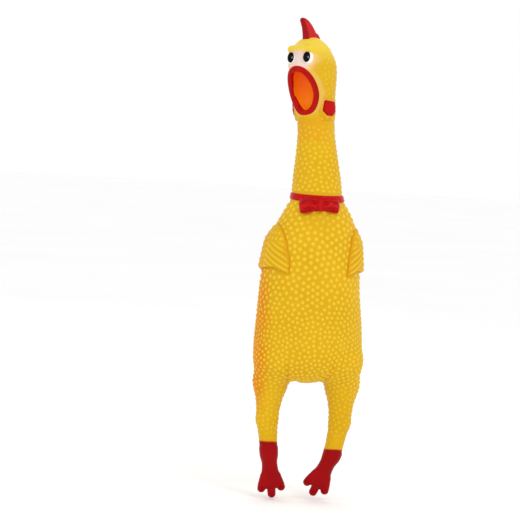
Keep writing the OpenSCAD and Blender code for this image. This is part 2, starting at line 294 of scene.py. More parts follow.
# Height over the head's base, half width, front and back, and how far forward the middle lies
SKULL = np.array([
    [-3, 14.8, 14.8, 14.8, 0], [1, 15.0, 15.0, 15.0, 0], [5, 15.6, 15.7, 15.6, 0],
    [10, 15.8, 16.4, 16.2, 0], [18, 15.9, 17.6, 16.5, 0], [24, 16.0, 18.6, 16.8, 0],
    [33, 16.8, 20.8, 17.9, 0], [43, 17.3, 23.0, 18.9, 0], [49, 17.2, 22.7, 18.6, 0.4],
    [54, 16.6, 21.6, 17.6, 1.2], [61, 15.2, 17.6, 14.2, 3], [67, 14.3, 14.8, 13.0, 5.3],
    [75, 13.4, 13.6, 12.5, 5.6],
])
MOUTH_FRONT = 19.5                  # the lips' middle: distance to the front, and height over the head's base
MOUTH_TOP = 28.0
MOUTH_TILT = math.radians(18)
MOUTH_HALF_W = 12.1
MOUTH_HALF_H = 19.3
MOUTH_SQUARE = 0.95                 # 1 is an oval, and less is squarer
CORNER_BACK = 4.0                   # how far the mouth's corners lie behind its middle
MOUTH_DEEP = 12.0
RIM_IN = 1.0                        # how far the open mouth's rim lies inside the lips' middle
LIP_R = 2.45
EYE = np.array([7.8, 19.4, 54.6])
EYE_R = np.array([4.7, 4.5, 6.5])


def squared(wave):
    """A sine wave drawn out towards its ends, which turns an oval into a rounded box."""
    return np.sign(wave) * np.abs(wave) ** MOUTH_SQUARE


def lip_line(back, count=96):
    """Points round the middle of the lips, in the head's own directions, moved back into the head."""
    t = np.linspace(0, 2 * math.pi, count, endpoint=False)
    across, up = squared(np.cos(t)), squared(np.sin(t))
    across *= 1 - 0.1 * smoothstep(0, -1, up)
    along = MOUTH_HALF_H * up
    front = MOUTH_FRONT + along * math.sin(MOUTH_TILT) - CORNER_BACK * across**2 - back
    return np.stack([MOUTH_HALF_W * across, front, MOUTH_TOP + along * math.cos(MOUTH_TILT)], axis=-1)


def near_line(q, line):
    """Distance from each point to the nearest of a line's points."""
    best = np.full(len(q), 1e9)
    for point in line:
        best = np.minimum(best, ((q - point) ** 2).sum(-1))
    return np.sqrt(best)


def hollow(q, grow):
    """The open mouth: a deep bowl with straight sides in front of the lips."""
    front, top = q[..., 1] - MOUTH_FRONT, q[..., 2] - MOUTH_TOP
    along = top * math.cos(MOUTH_TILT) + front * math.sin(MOUTH_TILT)
    out = np.minimum(front * math.cos(MOUTH_TILT) - top * math.sin(MOUTH_TILT), 0)
    power = 2 / MOUTH_SQUARE
    across = np.abs(q[..., 0] / (MOUTH_HALF_W - RIM_IN + grow)) ** power
    round_rim = (across + np.abs(along / (MOUTH_HALF_H - RIM_IN + grow)) ** power) ** (2 / power)
    k = np.sqrt(round_rim + (out / (MOUTH_DEEP + grow)) ** 2) + 1e-6
    return np.sqrt(q[..., 0] ** 2 + along**2 + out**2) * (1 - 1 / k)


def mirrored(q):
    """The same points on the one side of the head where the paired features are described."""
    return np.stack([np.abs(q[..., 0]), q[..., 1], q[..., 2]], axis=-1)


def skull(q):
    """The head without its features."""
    return loft(SKULL, q[..., 0], through(SKULL, 4, q[..., 2]) - q[..., 1], q[..., 2])


# Corners of a wattle: distance round the head from its side towards the face, and height
WATTLE = [(8.1, 18.8), (9.4, 12.0), (6.4, 8.9), (2.0, 8.2), (-0.8, 10.6), (-0.4, 17.4)]
WATTLE_ROUND = 1.4
WATTLE_R = 17                       # radius at which the distance round the head is measured
HEAD_HIGH, HEAD_HIGH_R = 72.0, 12   # the head's top over its base, and how round its rim is
# Middle, end and side of the brow: places on the head, and the radius there
BROW = [([0, 21.0, 61.8], 3.0), ([9.4, 19.6, 62.4], 3.1), ([13.8, 9.5, 60.4], 2.2)]


def wattle_outline(q):
    """Distance from a wattle's outline, on either side of the head."""
    m = mirrored(q)
    return outline(WATTLE, WATTLE_R * np.arctan2(m[..., 1], m[..., 0]), m[..., 2]) - WATTLE_ROUND


def brow_shape(m):
    """Two bars over each eye."""
    bars = [cone(m, a, b, ra, rb) for (a, ra), (b, rb) in zip(BROW, BROW[1:])]
    return np.minimum(*bars)


def head(p):
    """The head with its open mouth, and the swellings round the lips, eyes, brow and wattles."""
    q = np.stack(in_head(p), axis=-1)
    flat = q.reshape(-1, 3)
    u = flat[:, 2]
    m = mirrored(flat)
    d = both(both(skull(flat), u - HEAD_HIGH, HEAD_HIGH_R), SKULL[0, 0] - u, 1)
    lip_swell = near_line(flat, lip_line(3.0)) - 4.1
    d = join(d, lip_swell, 4)
    eye_swell = cone(m, [7.5, 15.5, 53.5], [7.5, 16.5, 49.5], 6.6, 6.2)
    d = join(d, eye_swell, 3)
    d = join(d, brow_shape(m), 4.4)
    wattle_swell = both(skull(flat) - 2.0, wattle_outline(flat + np.array([0, 0, 1.4])) - 2.5, 1.4)
    d = join(d, wattle_swell, 1.4)
    d = cut(d, hollow(flat, 0.5), 0.6)
    return d.reshape(q.shape[:-1])


LEGS_BELOW = 142
HEAD_ABOVE = 302


def skin(p):
    """The whole soft skin. The legs and the head are only worked out near their own places."""
    flat = p.reshape(-1, 3)
    d = trunk(flat)
    low = flat[:, 2] < LEGS_BELOW
    if low.any():
        part = flat[low]
        legs = np.minimum(leg(part, "left"), leg(part, "right"))
        joined = join(d[low], legs, 6) + crease(part)
        d[low] = join(joined, tail(part), 5)
    high = flat[:, 2] > HEAD_ABOVE
    if high.any():
        d[high] = join(d[high], head(flat[high]), 2.5)
    return d.reshape(p.shape[:-1])


# ---- meshing ----

BLOCK = 4           # fine voxels along each edge of a coarse one
BLOCKS_AT_ONCE = 6000
FAR = 3.0           # the largest distance that the grid keeps, in voxels


def mesh_field(field, low, high, voxel):
    """Points and four-sided faces where field is zero. Fine voxels are only worked out near the surface."""
    low = np.asarray(low, float)
    blocks = np.ceil((np.asarray(high) - low) / (voxel * BLOCK)).astype(int)
    middle = np.stack(np.meshgrid(*[np.arange(n) for n in blocks], indexing="ij"), axis=-1)
    size = voxel * BLOCK
    coarse = field(low + (middle + 0.5) * size)
    near = np.abs(coarse) < size * 1.5
    values = np.where(coarse < 0, -FAR, FAR).astype(np.float32)
    for axis in range(3):
        values = np.repeat(values, BLOCK, axis=axis)
    corner = middle[near] * BLOCK
    step = np.stack(np.meshgrid(*[np.arange(BLOCK)] * 3, indexing="ij"), axis=-1).reshape(-1, 3)
    index = corner[:, None, :] + step
    for part in np.array_split(np.arange(len(index)), max(1, len(index) // BLOCKS_AT_ONCE)):
        i = index[part]
        values[i[..., 0], i[..., 1], i[..., 2]] = np.clip(field(low + i * voxel) / voxel, -FAR, FAR)
    grid = openvdb.FloatGrid(FAR)
    grid.copyFromArray(values)
    points, quads = grid.convertToQuads(isovalue=0.0)
    return low + points.astype(float) * voxel, quads.astype(int)


def slope_of(field, points, step=0.25):
    """Unit directions in which field grows fastest."""
    g = np.zeros_like(points)
    for axis in range(3):
        shift = np.zeros(3)
        shift[axis] = step
        g[:, axis] = field(points + shift) - field(points - shift)
    return g / (np.linalg.norm(g, axis=1, keepdims=True) + 1e-9)


def new_object(name, points, faces, layers=None):
    """A smooth mesh object from points in millimetres, which keep their resting place and their paint."""
    mesh = bpy.data.meshes.new(name)
    mesh.from_pydata(to_row(points).tolist(), [], np.asarray(faces).tolist())
    mesh.polygons.foreach_set("use_smooth", np.ones(len(mesh.polygons), bool))
    rest = mesh.attributes.new("rest", "FLOAT_VECTOR", "POINT")
    rest.data.foreach_set("vector", to_row(points).astype(np.float32).ravel())
    for key, values in (layers or {}).items():
        layer = mesh.attributes.new(key, "FLOAT", "POINT")
        layer.data.foreach_set("value", np.asarray(values, np.float32))
    mesh.update()
    obj = bpy.data.objects.new(name, mesh)
    bpy.context.scene.collection.objects.link(obj)
    return obj


def cut_piece(source, name, planes):
    """A closed copy of source between planes. Each plane is a point and the direction that is cut away."""
    bm = bmesh.new()
    bm.from_mesh(source.data)
    for at, away in planes:
        geometry = bm.verts[:] + bm.edges[:] + bm.faces[:]
        result = bmesh.ops.bisect_plane(
            bm, geom=geometry, dist=1e-7, plane_co=Vector(to_row(at)), plane_no=Vector(away), clear_outer=True
        )
        rim = [e for e in result["geom_cut"] if isinstance(e, bmesh.types.BMEdge) and e.is_boundary]
        bmesh.ops.holes_fill(bm, edges=rim, sides=0)
        for edge in rim:
            edge.smooth = False
    bmesh.ops.delete(bm, geom=[v for v in bm.verts if not v.link_faces], context="VERTS")
    bmesh.ops.triangulate(bm, faces=[f for f in bm.faces if len(f.verts) > 4])
    mesh = bpy.data.meshes.new(name)
    bm.to_mesh(mesh)
    bm.free()
    obj = bpy.data.objects.new(name, mesh)
    bpy.context.scene.collection.objects.link(obj)
    return obj


# ---- the skin's raised dots ----

NUB_GAP = 4.9               # the widest gap from dot to dot, on the breast
NUB_H = 0.85
NUB_WIDE = 0.45             # radius of a dot as a share of the gap
NUB_SMALLEST = 0.12         # dots smaller than this share are left out


def nub_gap(h):
    """How far apart the dots are: closer on the belly, the legs and the neck than on the breast."""
    return NUB_GAP - 1.1 + 1.1 * smoothstep(140, 200, h) - 0.9 * smoothstep(252, 264, h)


def nub_size(p):
    """How large the dots grow: small on the legs and the back of the head, none on the feet and the face."""
    x, y, h = p.T
    on_legs = smoothstep(47, 60, h) * (0.55 + 0.45 * smoothstep(88, 104, h))
    size = on_legs * (1 - smoothstep(309, 314, h))
    under_bow = smoothstep(15, 10, np.abs(x)) * smoothstep(222, 230, h) * (h < 256) * (y < 0)
    size *= 1 - 0.45 * under_bow
    size *= 1 - 0.15 * smoothstep(256, 262, h) - 0.3 * smoothstep(285, 305, h)
    _, front, top = in_head(p)
    size += 0.45 * smoothstep(312, 316, h) * smoothstep(14, 9, front) * smoothstep(68, 62, top)
    in_collar = np.abs(h - 252.5) < 4.5
    in_wing = (wing_area(p) < 0.6) & (h < WING_BELOW)
    return np.where(in_collar | in_wing, 0, size)


NEIGHBOURS = list(itertools.product((-1, 0, 1), repeat=3))


def place_nubs(points):
    """Points of the skin that are at least one gap apart, packed from the toes upwards."""
    order = np.argsort(points[:, 2] + np.random.default_rng(SEED).uniform(0, 0.6, len(points)))
    size = nub_size(points)
    taken, chosen = {}, []
    for i in order[size[order] > NUB_SMALLEST]:
        p = points[i]
        cell = tuple((p // NUB_GAP).astype(int))
        around = (taken.get((cell[0] + a, cell[1] + b, cell[2] + c), ()) for a, b, c in NEIGHBOURS)
        gap = nub_gap(p[2])
        if all(((p - other) ** 2).sum() > gap**2 for group in around for other in group):
            taken.setdefault(cell, []).append(p)
            chosen.append(i)
    return points[chosen], size[chosen]


def raise_nubs(points, normals, nubs, sizes):
    """Points with the dots raised on them, and how near the top of a dot each one is."""
    tree = kdtree.KDTree(len(nubs))
    for i, nub in enumerate(nubs):
        tree.insert(nub, i)
    tree.balance()
    level = np.zeros(len(points))
    for i in np.flatnonzero(nub_size(points) > 0.05):
        _, nearest, gap = tree.find(points[i])
        radius = NUB_WIDE * nub_gap(nubs[nearest][2]) * (0.75 + 0.25 * sizes[nearest])
        if gap < radius:
            level[i] = (1 - (gap / radius) ** 2) ** 1.25 * sizes[nearest]
    return points + normals * (NUB_H * level)[:, None], level


# ---- wings, collar and bow tie ----

# Corners of a folded wing: distance round the torso from its side towards the back, and height
WING = [
    (-36, 189), (-35.8, 196), (-34.6, 204), (-30.5, 213), (-25.5, 220.5), (-17, 226.6),
    (-7, 229.5), (4, 228), (14, 221), (21, 211), (25, 200), (25, 191.5),
    (18, 189), (8, 190.2), (-4, 191.6), (-14, 193), (-22.2, 193.8), (-29, 191),
]
WING_R = 37                     # radius at which the distance round the torso is measured
WING_BELOW = 240                # no part of a wing is as high as this
WING_FAR_SIDE = 1.1             # the wing on the viewer's right starts nearer its side
FEATHER_GAP = 3.9
FEATHER_SLANT = math.radians(28)
FEATHER_DOTS = 0.68             # radians per millimetre across the wing's grid of dots


def wing_place(p):
    """Distance round the torso from its side towards the back, and height."""
    h = p[..., 2]
    deep = np.where(p[..., 1] < 0, through(TRUNK, 2, h), through(TRUNK, 3, h))
    arc = WING_R * np.arctan2(p[..., 1] / deep, np.abs(p[..., 0]) / through(TRUNK, 1, h))
    return np.where((p[..., 0] > 0) & (arc < 0), arc * WING_FAR_SIDE, arc), h


def wing_area(p):
    """Distance from a wing's outline, on either side of the torso."""
    return outline(WING, *wing_place(p))


def feathers(arc, h):
    """How far each feather stands up: slanting ridges on the front, and dots on the shoulder and behind."""
    across = h * math.cos(FEATHER_SLANT) - arc * math.sin(FEATHER_SLANT)
    ridge = np.abs(np.sin(across * math.pi / FEATHER_GAP)) ** 0.8
    front = smoothstep(-9, -15, arc) * smoothstep(217, 211, h)
    grid = np.sin((arc + h) * FEATHER_DOTS) * np.sin((arc - h) * FEATHER_DOTS)
    return 1.1 * (ridge - 0.6) * front + 0.55 * smoothstep(0.1, 0.7, grid) * (1 - front)


def moulded(pad, body, sunk):
    """A pad on the skin, whose back is sunk a little under it."""
    return np.maximum(pad, -body - sunk)


def wing(side):
    """A wing lying on the torso: thickest at the shoulder, and thin at its front and upper edges."""

    def field(p):
        arc, h = wing_place(p)
        shoulder = 0.8 * np.exp(-(((h - 217) / 8) ** 2))
        thick = 3.6 + shoulder - 1.9 * smoothstep(216, 229, h) + feathers(arc, h)
        thick -= smoothstep(-20, -34, arc) * (1.0 + 1.7 * smoothstep(196, 212, h))
        scallops = 0.35 * np.cos((h + arc) * 1.3) * smoothstep(-24, -30, arc)
        body = trunk(p)
        pad = both(body - thick, outline(WING, arc, h) - scallops, 2.6)
        return np.maximum(moulded(pad, body, 1.4), 4 - p[..., 0] * side)

    return field


COLLAR_H = 252.6


def collar(p):
    """A band round the neck that hugs the skin and dips a little at the front."""
    h = p[..., 2] - COLLAR_H - 0.05 * np.minimum(p[..., 1], 0)
    hug = np.abs(trunk(p) + 0.5) - 1.7
    return both(hug, np.abs(h) - 2.9, 1.3)


BOW_TOP = 251.6
BOW_HALF_W = 16.4
BOW_SLOPE = 0.055               # how much the bow's lower rim rises per millimetre to the viewer's right
BOW_BACK = -6                   # the bow ends in front of this y


def bow_span(x, slope):
    """Height of the bow's middle, and half of its own height."""
    low = 241.7 - 1.9 * smoothstep(2, 14, np.abs(x)) + slope * x
    return (BOW_TOP + low) / 2, (BOW_TOP - low) / 2


def bow_folds(x, v):
    """A wave between -1 and 1 across the folds of a loop; v runs from -1 at the bow's lower rim to 1."""
    return np.cos(v * 5.4 + 0.9 * np.sin(np.abs(x) * 0.5) + 0.4)


def bow_loops(p):
    """Both loops of the bow, with folds that run across them."""
    x, y, h = p[..., 0], p[..., 1], p[..., 2]
    out = np.abs(x)
    middle, half = bow_span(x, BOW_SLOPE)
    v = (h - middle) / half
    folds = 1.1 * bow_folds(x, v) * smoothstep(1, 4, out) * smoothstep(17, 12, out)
    thick = 3.4 + 0.9 * smoothstep(2, 8, out) - 0.8 * v * v + folds
    body = trunk(p)
    d = both(body - thick, (np.abs(v) - 1) * half, 1.5)
    d = both(d, out - BOW_HALF_W - 0.4 * np.cos(v * 4), 1.5)
    return np.maximum(moulded(d, body, 1.2), y - BOW_BACK)


def bow_fold_shade(p):
    """Painted shade: darker red between the folds."""
    middle, half = bow_span(p[:, 0], BOW_SLOPE)
    return {"edge": 0.35 * smoothstep(0.1, -1, bow_folds(p[:, 0], (p[:, 2] - middle) / half))}


def bow_knot(p):
    """The bow's middle, which stands out over the loops."""
    x, y, h = p[..., 0], p[..., 1], p[..., 2]
    middle, half = bow_span(x, 0)
    body = trunk(p)
    d = both(body - 4.7 - 0.25 * np.cos(h * 2.0), np.abs(x) - 2.0, 1.4)
    d = both(d, np.abs(h - middle) - half - 0.3, 1.4)
    return np.maximum(moulded(d, body, 1.2), y - BOW_BACK)


# ---- parts of the face ----


def head_field(shape):
    """A field over the head's own directions, as a field over points."""

    def field(p):
        q = np.stack(in_head(p.reshape(-1, 3)), axis=-1)
        return shape(q).reshape(p.shape[:-1])

    return field


# The comb's outline: distance to the front, and height over the head's base
COMB = [
    (13.6, 65), (12.9, 70), (13.2, 75), (14.3, 79.5), (16.2, 83.4), (17.6, 86.2), (16.6, 87.6), (13.6, 87.3),
    (9.6, 85.4), (5.4, 81.8), (2.2, 77.4), (0.6, 75.2), (-1.8, 74.4), (-3.7, 72), (-4.6, 69), (-4.6, 65),
]
COMB_T = 6.5


def comb_shape(q):
    """A fin that thins towards its tip."""
    half = COMB_T / 2 - 1.0 * smoothstep(70, 87, q[:, 2])
    return both(outline(COMB, q[:, 1], q[:, 2]) - 0.5, np.abs(q[:, 0]) - half, 1.7)


def lips_shape(q):
    """A round bead along the lips, thicker at the sides and most of all at the lower lip."""
    sides = smoothstep(0.25, 1.0, np.abs(q[:, 0]) / MOUTH_HALF_W) * 0.2
    low = smoothstep(20, 9, q[:, 2]) * 0.45
    return near_line(q, lip_line(-0.5, 200)) - LIP_R - sides - low


def in_front_of_lips(front, top):
    """Distance out of the mouth from the plane of the lips."""
    return (front - MOUTH_FRONT) * math.cos(MOUTH_TILT) - (top - MOUTH_TOP) * math.sin(MOUTH_TILT)


def lining_shape(q):
    """A thin cup that lines the open mouth."""
    out = in_front_of_lips(q[:, 1], q[:, 2])
    shell = np.maximum(hollow(q, 0.2), -hollow(q, -1.3))
    return np.maximum(shell, out + CORNER_BACK * (q[:, 0] / MOUTH_HALF_W) ** 2 - 0.5)


def comb_rim_shade(p):
    """Painted shade: darker red towards the comb's outline."""
    _, front, top = in_head(p)
    return {"edge": 0.6 * smoothstep(-1.8, -0.2, outline(COMB, front, top))}


def lips_rim_shade(p):
    """Painted shade: darker red where the lips meet the skin, most of all at the lower lip."""
    _, front, top = in_head(p)
    at_skin = smoothstep(1.0, -1.5, in_front_of_lips(front, top) + 1.0)
    return {"edge": (0.35 + 0.35 * smoothstep(30, 12, top)) * at_skin}


def lining_light_and_shade(p):
    """Painted light: paler towards the lower end of the mouth, which faces up into the light."""
    return {"low": smoothstep(44, 14, in_head(p)[2])}


def wattle_rim_shade(p):
    """Painted shade: darker red towards a wattle's outline."""
    q = np.stack(in_head(p), axis=-1)
    return {"edge": 0.6 * smoothstep(-1.8, -0.2, wattle_outline(q))}


def wattle_shape(side):
    """A flat lobe on one side of the head."""

    def shape(q):
        base = skull(q)
        d = both(base - 3.3, wattle_outline(q), 1.3)
        return np.maximum(moulded(d, base, 0.8), 4 - side * q[:, 0])

    return shape


def eyeball(q, side):
    return ellipsoid(q, EYE * [side, 1, 1], EYE_R)


def eye_white_shape(side):
    """The whole ball of one eye."""

    def shape(q):
        return eyeball(q, side)

    return shape


PUPIL = np.array([8.1, 55.8])       # sideways, and height over the head's base
PUPIL_HALF = np.array([3.3, 4.4])
PUPIL_T = 0.5


def pupil_shape(side):
    """A thin oval on the front of an eye."""

    def shape(q):
        ball = eyeball(q, side)
        spot = (np.stack([q[:, 0] * side, q[:, 2]], axis=-1) - PUPIL) / PUPIL_HALF
        oval = (np.linalg.norm(spot, axis=-1) - 1) * PUPIL_HALF[0]
        d = both(ball - PUPIL_T, oval, 0.5)
        return np.maximum(moulded(d, ball, 1), EYE[1] - q[:, 1])

    return shape


def pupil_glint(side):
    """A painted highlight: a small grey fleck at the viewer's right of a pupil."""

    def paint(p):
        s, _, top = in_head(p)
        spot = np.hypot((s - side * PUPIL[0] - 2.3) / 0.8, (top - PUPIL[1] + 0.2) / 0.9)
        return {"edge": 0.8 * smoothstep(1.2, 0.6, spot)}

    return paint


NAIL_R = np.array([2.1, 1.2, 2.7])


def toenails(name):
    """A small oval on the front of each toe."""

    def field(p):
        q = in_foot(p, name)
        nails = [ellipsoid(q, np.array([x, -3.2, FOOT_L - up - 4.4]), NAIL_R) for x, up in TOES]
        return np.min(nails, axis=0)

    return field


# ---- paint ----

SKIN_LAYERS = ("nub", "spray", "sock", "white", "blush", "lemon")


def skin_layers(count, **given):
    """Every paint layer of the skin, with zeros where none is given."""
    return {name: given.get(name, np.zeros(count)) for name in SKIN_LAYERS}


def soft_noise(p, size, seed=0):
    """A smooth wavering between -1 and 1, about size across."""
    rng = np.random.default_rng(SEED + seed)
    total = np.zeros(len(p))
    for _ in range(5):
        direction = rng.normal(size=3)
        direction /= np.linalg.norm(direction)
        total += np.sin(p @ direction * (2 * math.pi / size) * rng.uniform(0.7, 1.5) + rng.uniform(0, 6.3))
    return total / 3.2


SOCK_TOP = (47.9, 43.1)         # height where the dark red starts on the left and the right leg


def body_paint(p, level):
    """Lighter dot tops, partly painted highlight; orange on the viewer's left and round the wings, partly
    airbrush and partly painted shade; painted shade in the folds by the thighs; and the dark red feet.
    """
    x, _, h = p.T
    # orange on the viewer's left: partly airbrush, partly painted shade
    side_spray = smoothstep(-33, -44, x + 1.5 * soft_noise(p, 30))
    side_spray = side_spray * smoothstep(238, 222, h) * smoothstep(58, 98, h)
    # orange round each wing's outline: partly airbrush, partly painted shade where the wing steps off the
    # skin
    wing_rim_spray_and_shade = 0.1 * smoothstep(3, 0, np.abs(wing_area(p))) * (h < WING_BELOW)
    # painted shade in the folds between the belly and the thighs
    fold_shade = 0.2 * crease(p)
    sock_line = np.where(x < 0, *SOCK_TOP) + 0.5 * soft_noise(p, 9, 1)
    return skin_layers(
        len(p),
        nub=level,
        spray=np.clip(0.9 * side_spray + wing_rim_spray_and_shade + fold_shade, 0, 1),
        sock=smoothstep(sock_line + 0.7, sock_line - 0.7, h),
    )


def head_paint(p, level):
    """White round the eyes, fading into a blush towards the cheeks and the lips; orange painted shade under
    the chin and round the wattles; and a painted reflection of paler yellow towards the head's top.
    """
    side, front, top = in_head(p)
    q = np.stack([side, front, top], axis=-1)
    wide = np.abs(side)
    on_face = smoothstep(5, 9, front)
    # A squarish oval round both eyes, which is 1 at its edge
    oval = (wide / 11.8) ** 2.4 + (np.abs(top - 53.4) / 7.2) ** 2.4
    under_eyes = smoothstep(44.5, 47, top) * smoothstep(15, 8, wide) * smoothstep(50, 47, top)
    round_lips = 0.22 * smoothstep(5.6, 4.4, near_line(q, lip_line(2.0)))
    # painted shade under the chin
    under_chin_shade = 0.25 * smoothstep(9, 3, top) * smoothstep(0, 8, front)
    # painted shade round each wattle's rim
    round_wattle_shade = 0.4 * smoothstep(1.5, 0, np.abs(wattle_outline(q) - 2))
    blush = on_face * np.maximum(under_eyes, smoothstep(2.0, 0.8, oval)) + round_lips
    return skin_layers(
        len(p),
        nub=level,
        spray=under_chin_shade + round_wattle_shade,
        white=on_face * smoothstep(1.2, 0.5, oval),
        blush=np.clip(blush, 0, 1),
        # painted reflection: paler yellow towards the top of the head
        lemon=smoothstep(46, 66, top) * 0.9 + 0.1,
    )


def wing_paint(side):
    """Orange in a wing's deep places, which is painted shade, and over the outer half of the wing on the
    viewer's left, which is partly airbrush and partly painted shade. Lighter feather tops are partly a
    painted highlight.
    """

    def paint(p):
        arc, h = wing_place(p)
        over_skin = trunk(p)
        # painted shade in the deep places next to the skin
        deep = smoothstep(1.6, -0.6, over_skin - 1.2)
        # orange over the wing's outer half on the viewer's left: partly airbrush, partly painted shade
        outer = 0.75 * smoothstep(-12, 4, arc) if side < 0 else 0.1
        spray = outer * smoothstep(228, 216, h) + 0.3 * deep
        # lighter feather tops: partly paint, partly painted highlight
        dots = smoothstep(0, 0.5, feathers(arc, h)) * smoothstep(0, 1.5, over_skin - 1.5)
        return skin_layers(len(p), nub=0.6 * dots, spray=np.clip(spray, 0, 1))

    return paint


# ---- materials ----


def linear(red, green, blue):
    """A colour given in 0 to 255 steps of a screen, as light."""
    values = [v / 255 for v in (red, green, blue)]
    return [v / 12.92 if v <= 0.04045 else ((v + 0.055) / 1.055) ** 2.4 for v in values] + [1.0]


class Material:
    """A node material with a Principled shader and a few shorthands."""

    def __init__(self, name, roughness, specular=0.5, place="rest"):
        self.data = bpy.data.materials.new(name)
        self.data.use_nodes = True
        self.nodes, self.links = self.data.node_tree.nodes, self.data.node_tree.links
        self.shader = self.nodes["Principled BSDF"]
        self.shader.inputs["Roughness"].default_value = roughness
        self.shader.inputs["Specular IOR Level"].default_value = specular
        if place == "rest":
            self.place = self.layer("rest", "Vector")
        else:
            self.place = self.nodes.new("ShaderNodeTexCoord").outputs["Object"]

    def layer(self, name, output="Fac"):
        node = self.nodes.new("ShaderNodeAttribute")
        node.attribute_name = name
        return node.outputs[output]

    def noise(self, size_mm, detail):
        mapping = self.nodes.new("ShaderNodeMapping")
        mapping.inputs["Scale"].default_value = [1 / (size_mm * MM)] * 3
        self.links.new(self.place, mapping.inputs["Vector"])
        node = self.nodes.new("ShaderNodeTexNoise")
        node.inputs["Scale"].default_value = 1.0
        node.inputs["Detail"].default_value = detail
        self.links.new(mapping.outputs["Vector"], node.inputs["Vector"])
        return node.outputs["Fac"]

    def spread(self, value, lo, hi, to_lo=0.0, to_hi=1.0):
        node = self.nodes.new("ShaderNodeMapRange")
        for name, number in zip(("From Min", "From Max", "To Min", "To Max"), (lo, hi, to_lo, to_hi)):
            node.inputs[name].default_value = number
        self.links.new(value, node.inputs["Value"])
        return node.outputs["Result"]

    def mix(self, factor, a, b):
        """Colour a where factor is 0 and b where it is 1. Each colour is a list or a socket."""
        node = self.nodes.new("ShaderNodeMix")
        node.data_type = "RGBA"
        factor_in = next(s for s in node.inputs if s.type == "VALUE")
        self.links.new(factor, factor_in)
        colours_in = [s for s in node.inputs if s.type == "RGBA"]
        for socket, colour in zip(colours_in, (a, b)):
            if isinstance(colour, list):
                socket.default_value = colour
            else:
                self.links.new(colour, socket)
        return next(s for s in node.outputs if s.type == "RGBA")

    def paint(self, colour):
        self.links.new(colour, self.shader.inputs["Base Color"])

    def rough(self, value):
        self.links.new(value, self.shader.inputs["Roughness"])

    def bump(self, heights):
        """Bumps from (height, depth in millimetres) pairs, one on top of another."""
        normal = None
        for height, depth in heights:
            node = self.nodes.new("ShaderNodeBump")
            node.inputs["Strength"].default_value = 1.0
            node.inputs["Distance"].default_value = depth * MM
            self.links.new(height, node.inputs["Height"])
            if normal:
                self.links.new(normal, node.inputs["Normal"])
            normal = node.outputs["Normal"]
        self.links.new(normal, self.shader.inputs["Normal"])


def skin_material():
    """Soft vinyl: yellow with lighter dot tops, partly paint and partly a painted highlight; orange, partly
    airbrush and partly painted shade; a painted reflection of paler yellow towards the head's top; and the
    paint of the face and the feet.
    """
    m = Material("skin_vinyl", 0.42, 0.08)
    cloud = m.noise(26, 3)
    colour = m.mix(m.spread(cloud, 0.3, 0.7), linear(208, 161, 16), linear(216, 169, 22))
    # painted reflection: paler yellow towards the top of the head
    colour = m.mix(m.layer("lemon"), colour, linear(229, 198, 64))
    # orange: partly airbrush, partly painted shade
    colour = m.mix(m.layer("spray"), colour, linear(216, 122, 0))
    # lighter dot tops: partly paint, partly painted highlight
    colour = m.mix(m.spread(m.layer("nub"), 0.0, 0.8, 0, 0.8), colour, linear(236, 198, 52))
    colour = m.mix(m.layer("blush"), colour, linear(240, 196, 150))
    colour = m.mix(m.layer("white"), colour, linear(230, 208, 196))
    sock = m.mix(m.spread(cloud, 0.35, 0.65), linear(144, 2, 6), linear(156, 4, 9))
    m.paint(m.mix(m.layer("sock"), colour, sock))
    m.rough(m.spread(m.noise(3.5, 3), 0.3, 0.7, 0.34, 0.46))
    m.bump([(m.noise(5, 2), 0.22), (m.noise(0.9, 4), 0.03)])
    return m.data


def paint_material(name, dark, light, roughness, specular=0.09, depth=0.008, edge=(118, 4, 10)):
    """Sprayed paint on vinyl: a little uneven in colour and gloss. The edge layer mixes in the edge colour:
    painted shade along outlines and folds, and a painted highlight on the pupils.
    """
    m = Material(name, roughness, specular)
    colour = m.mix(m.spread(m.noise(9, 4), 0.32, 0.68), linear(*dark), linear(*light))
    # edge colour: painted shade, and on the pupils a painted highlight
    m.paint(m.mix(m.layer("edge"), colour, linear(*edge)))
    m.rough(m.spread(m.noise(2.5, 3), 0.3, 0.7, roughness - 0.06, roughness + 0.08))
    m.bump([(m.noise(6, 2), 0.1), (m.noise(0.8, 3), depth)])
    return m.data


def mouth_material():
    """The mouth's lining: red orange at the top, which is painted shade, and paler towards the throat's lower
    end, which is painted light.
    """
    m = Material("paint_orange", 0.4, 0.12)
    top = m.mix(m.spread(m.noise(6, 3), 0.3, 0.7), linear(230, 84, 0), linear(238, 94, 0))
    # painted light: paler towards the lower end, with painted shade in red orange at the top
    m.paint(m.mix(m.layer("low"), top, linear(250, 136, 0)))
    m.rough(m.spread(m.noise(3, 3), 0.3, 0.7, 0.34, 0.48))
    m.bump([(m.noise(7, 2), 0.2), (m.noise(0.9, 3), 0.02)])
    return m.data


def plastic_material(name, colour, roughness):
    """Hard plastic of the sound unit, a little uneven in colour and gloss."""
    m = Material(name, roughness, place="object")
    lighter = [min(255, c + 12) for c in colour]
    m.paint(m.mix(m.spread(m.noise(4, 3), 0.3, 0.7), linear(*colour), linear(*lighter)))
    m.rough(m.spread(m.noise(1.5, 3), 0.3, 0.7, roughness - 0.05, roughness + 0.08))
    m.bump([(m.noise(0.5, 3), 0.02)])
    return m.data


# ---- putting the pieces together ----


def set_material(obj, material):
    obj.data.materials.clear()
    obj.data.materials.append(material)


def finish_piece(obj, material, nodes):
    set_material(obj, material)
    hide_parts(*nodes)


def skin_mesh(name, low, high, voxel, paint, nubs):
    """The part of the skin inside a box, with its dots raised."""
    points, quads = mesh_field(skin, low, high, voxel)
    raised, level = raise_nubs(points, slope_of(skin, points), *nubs)
    return new_object(name, raised, quads, paint(points, level))


UP = (0, 0, 1)
DOWN = (0, 0, -1)
# Heights at which the skin is cut into pieces
COLLAR_CUT = 252
NECK_CUT = 277
HEAD_CUT = 299
KNEE_CUT = 78
ANKLE_CUT = 50
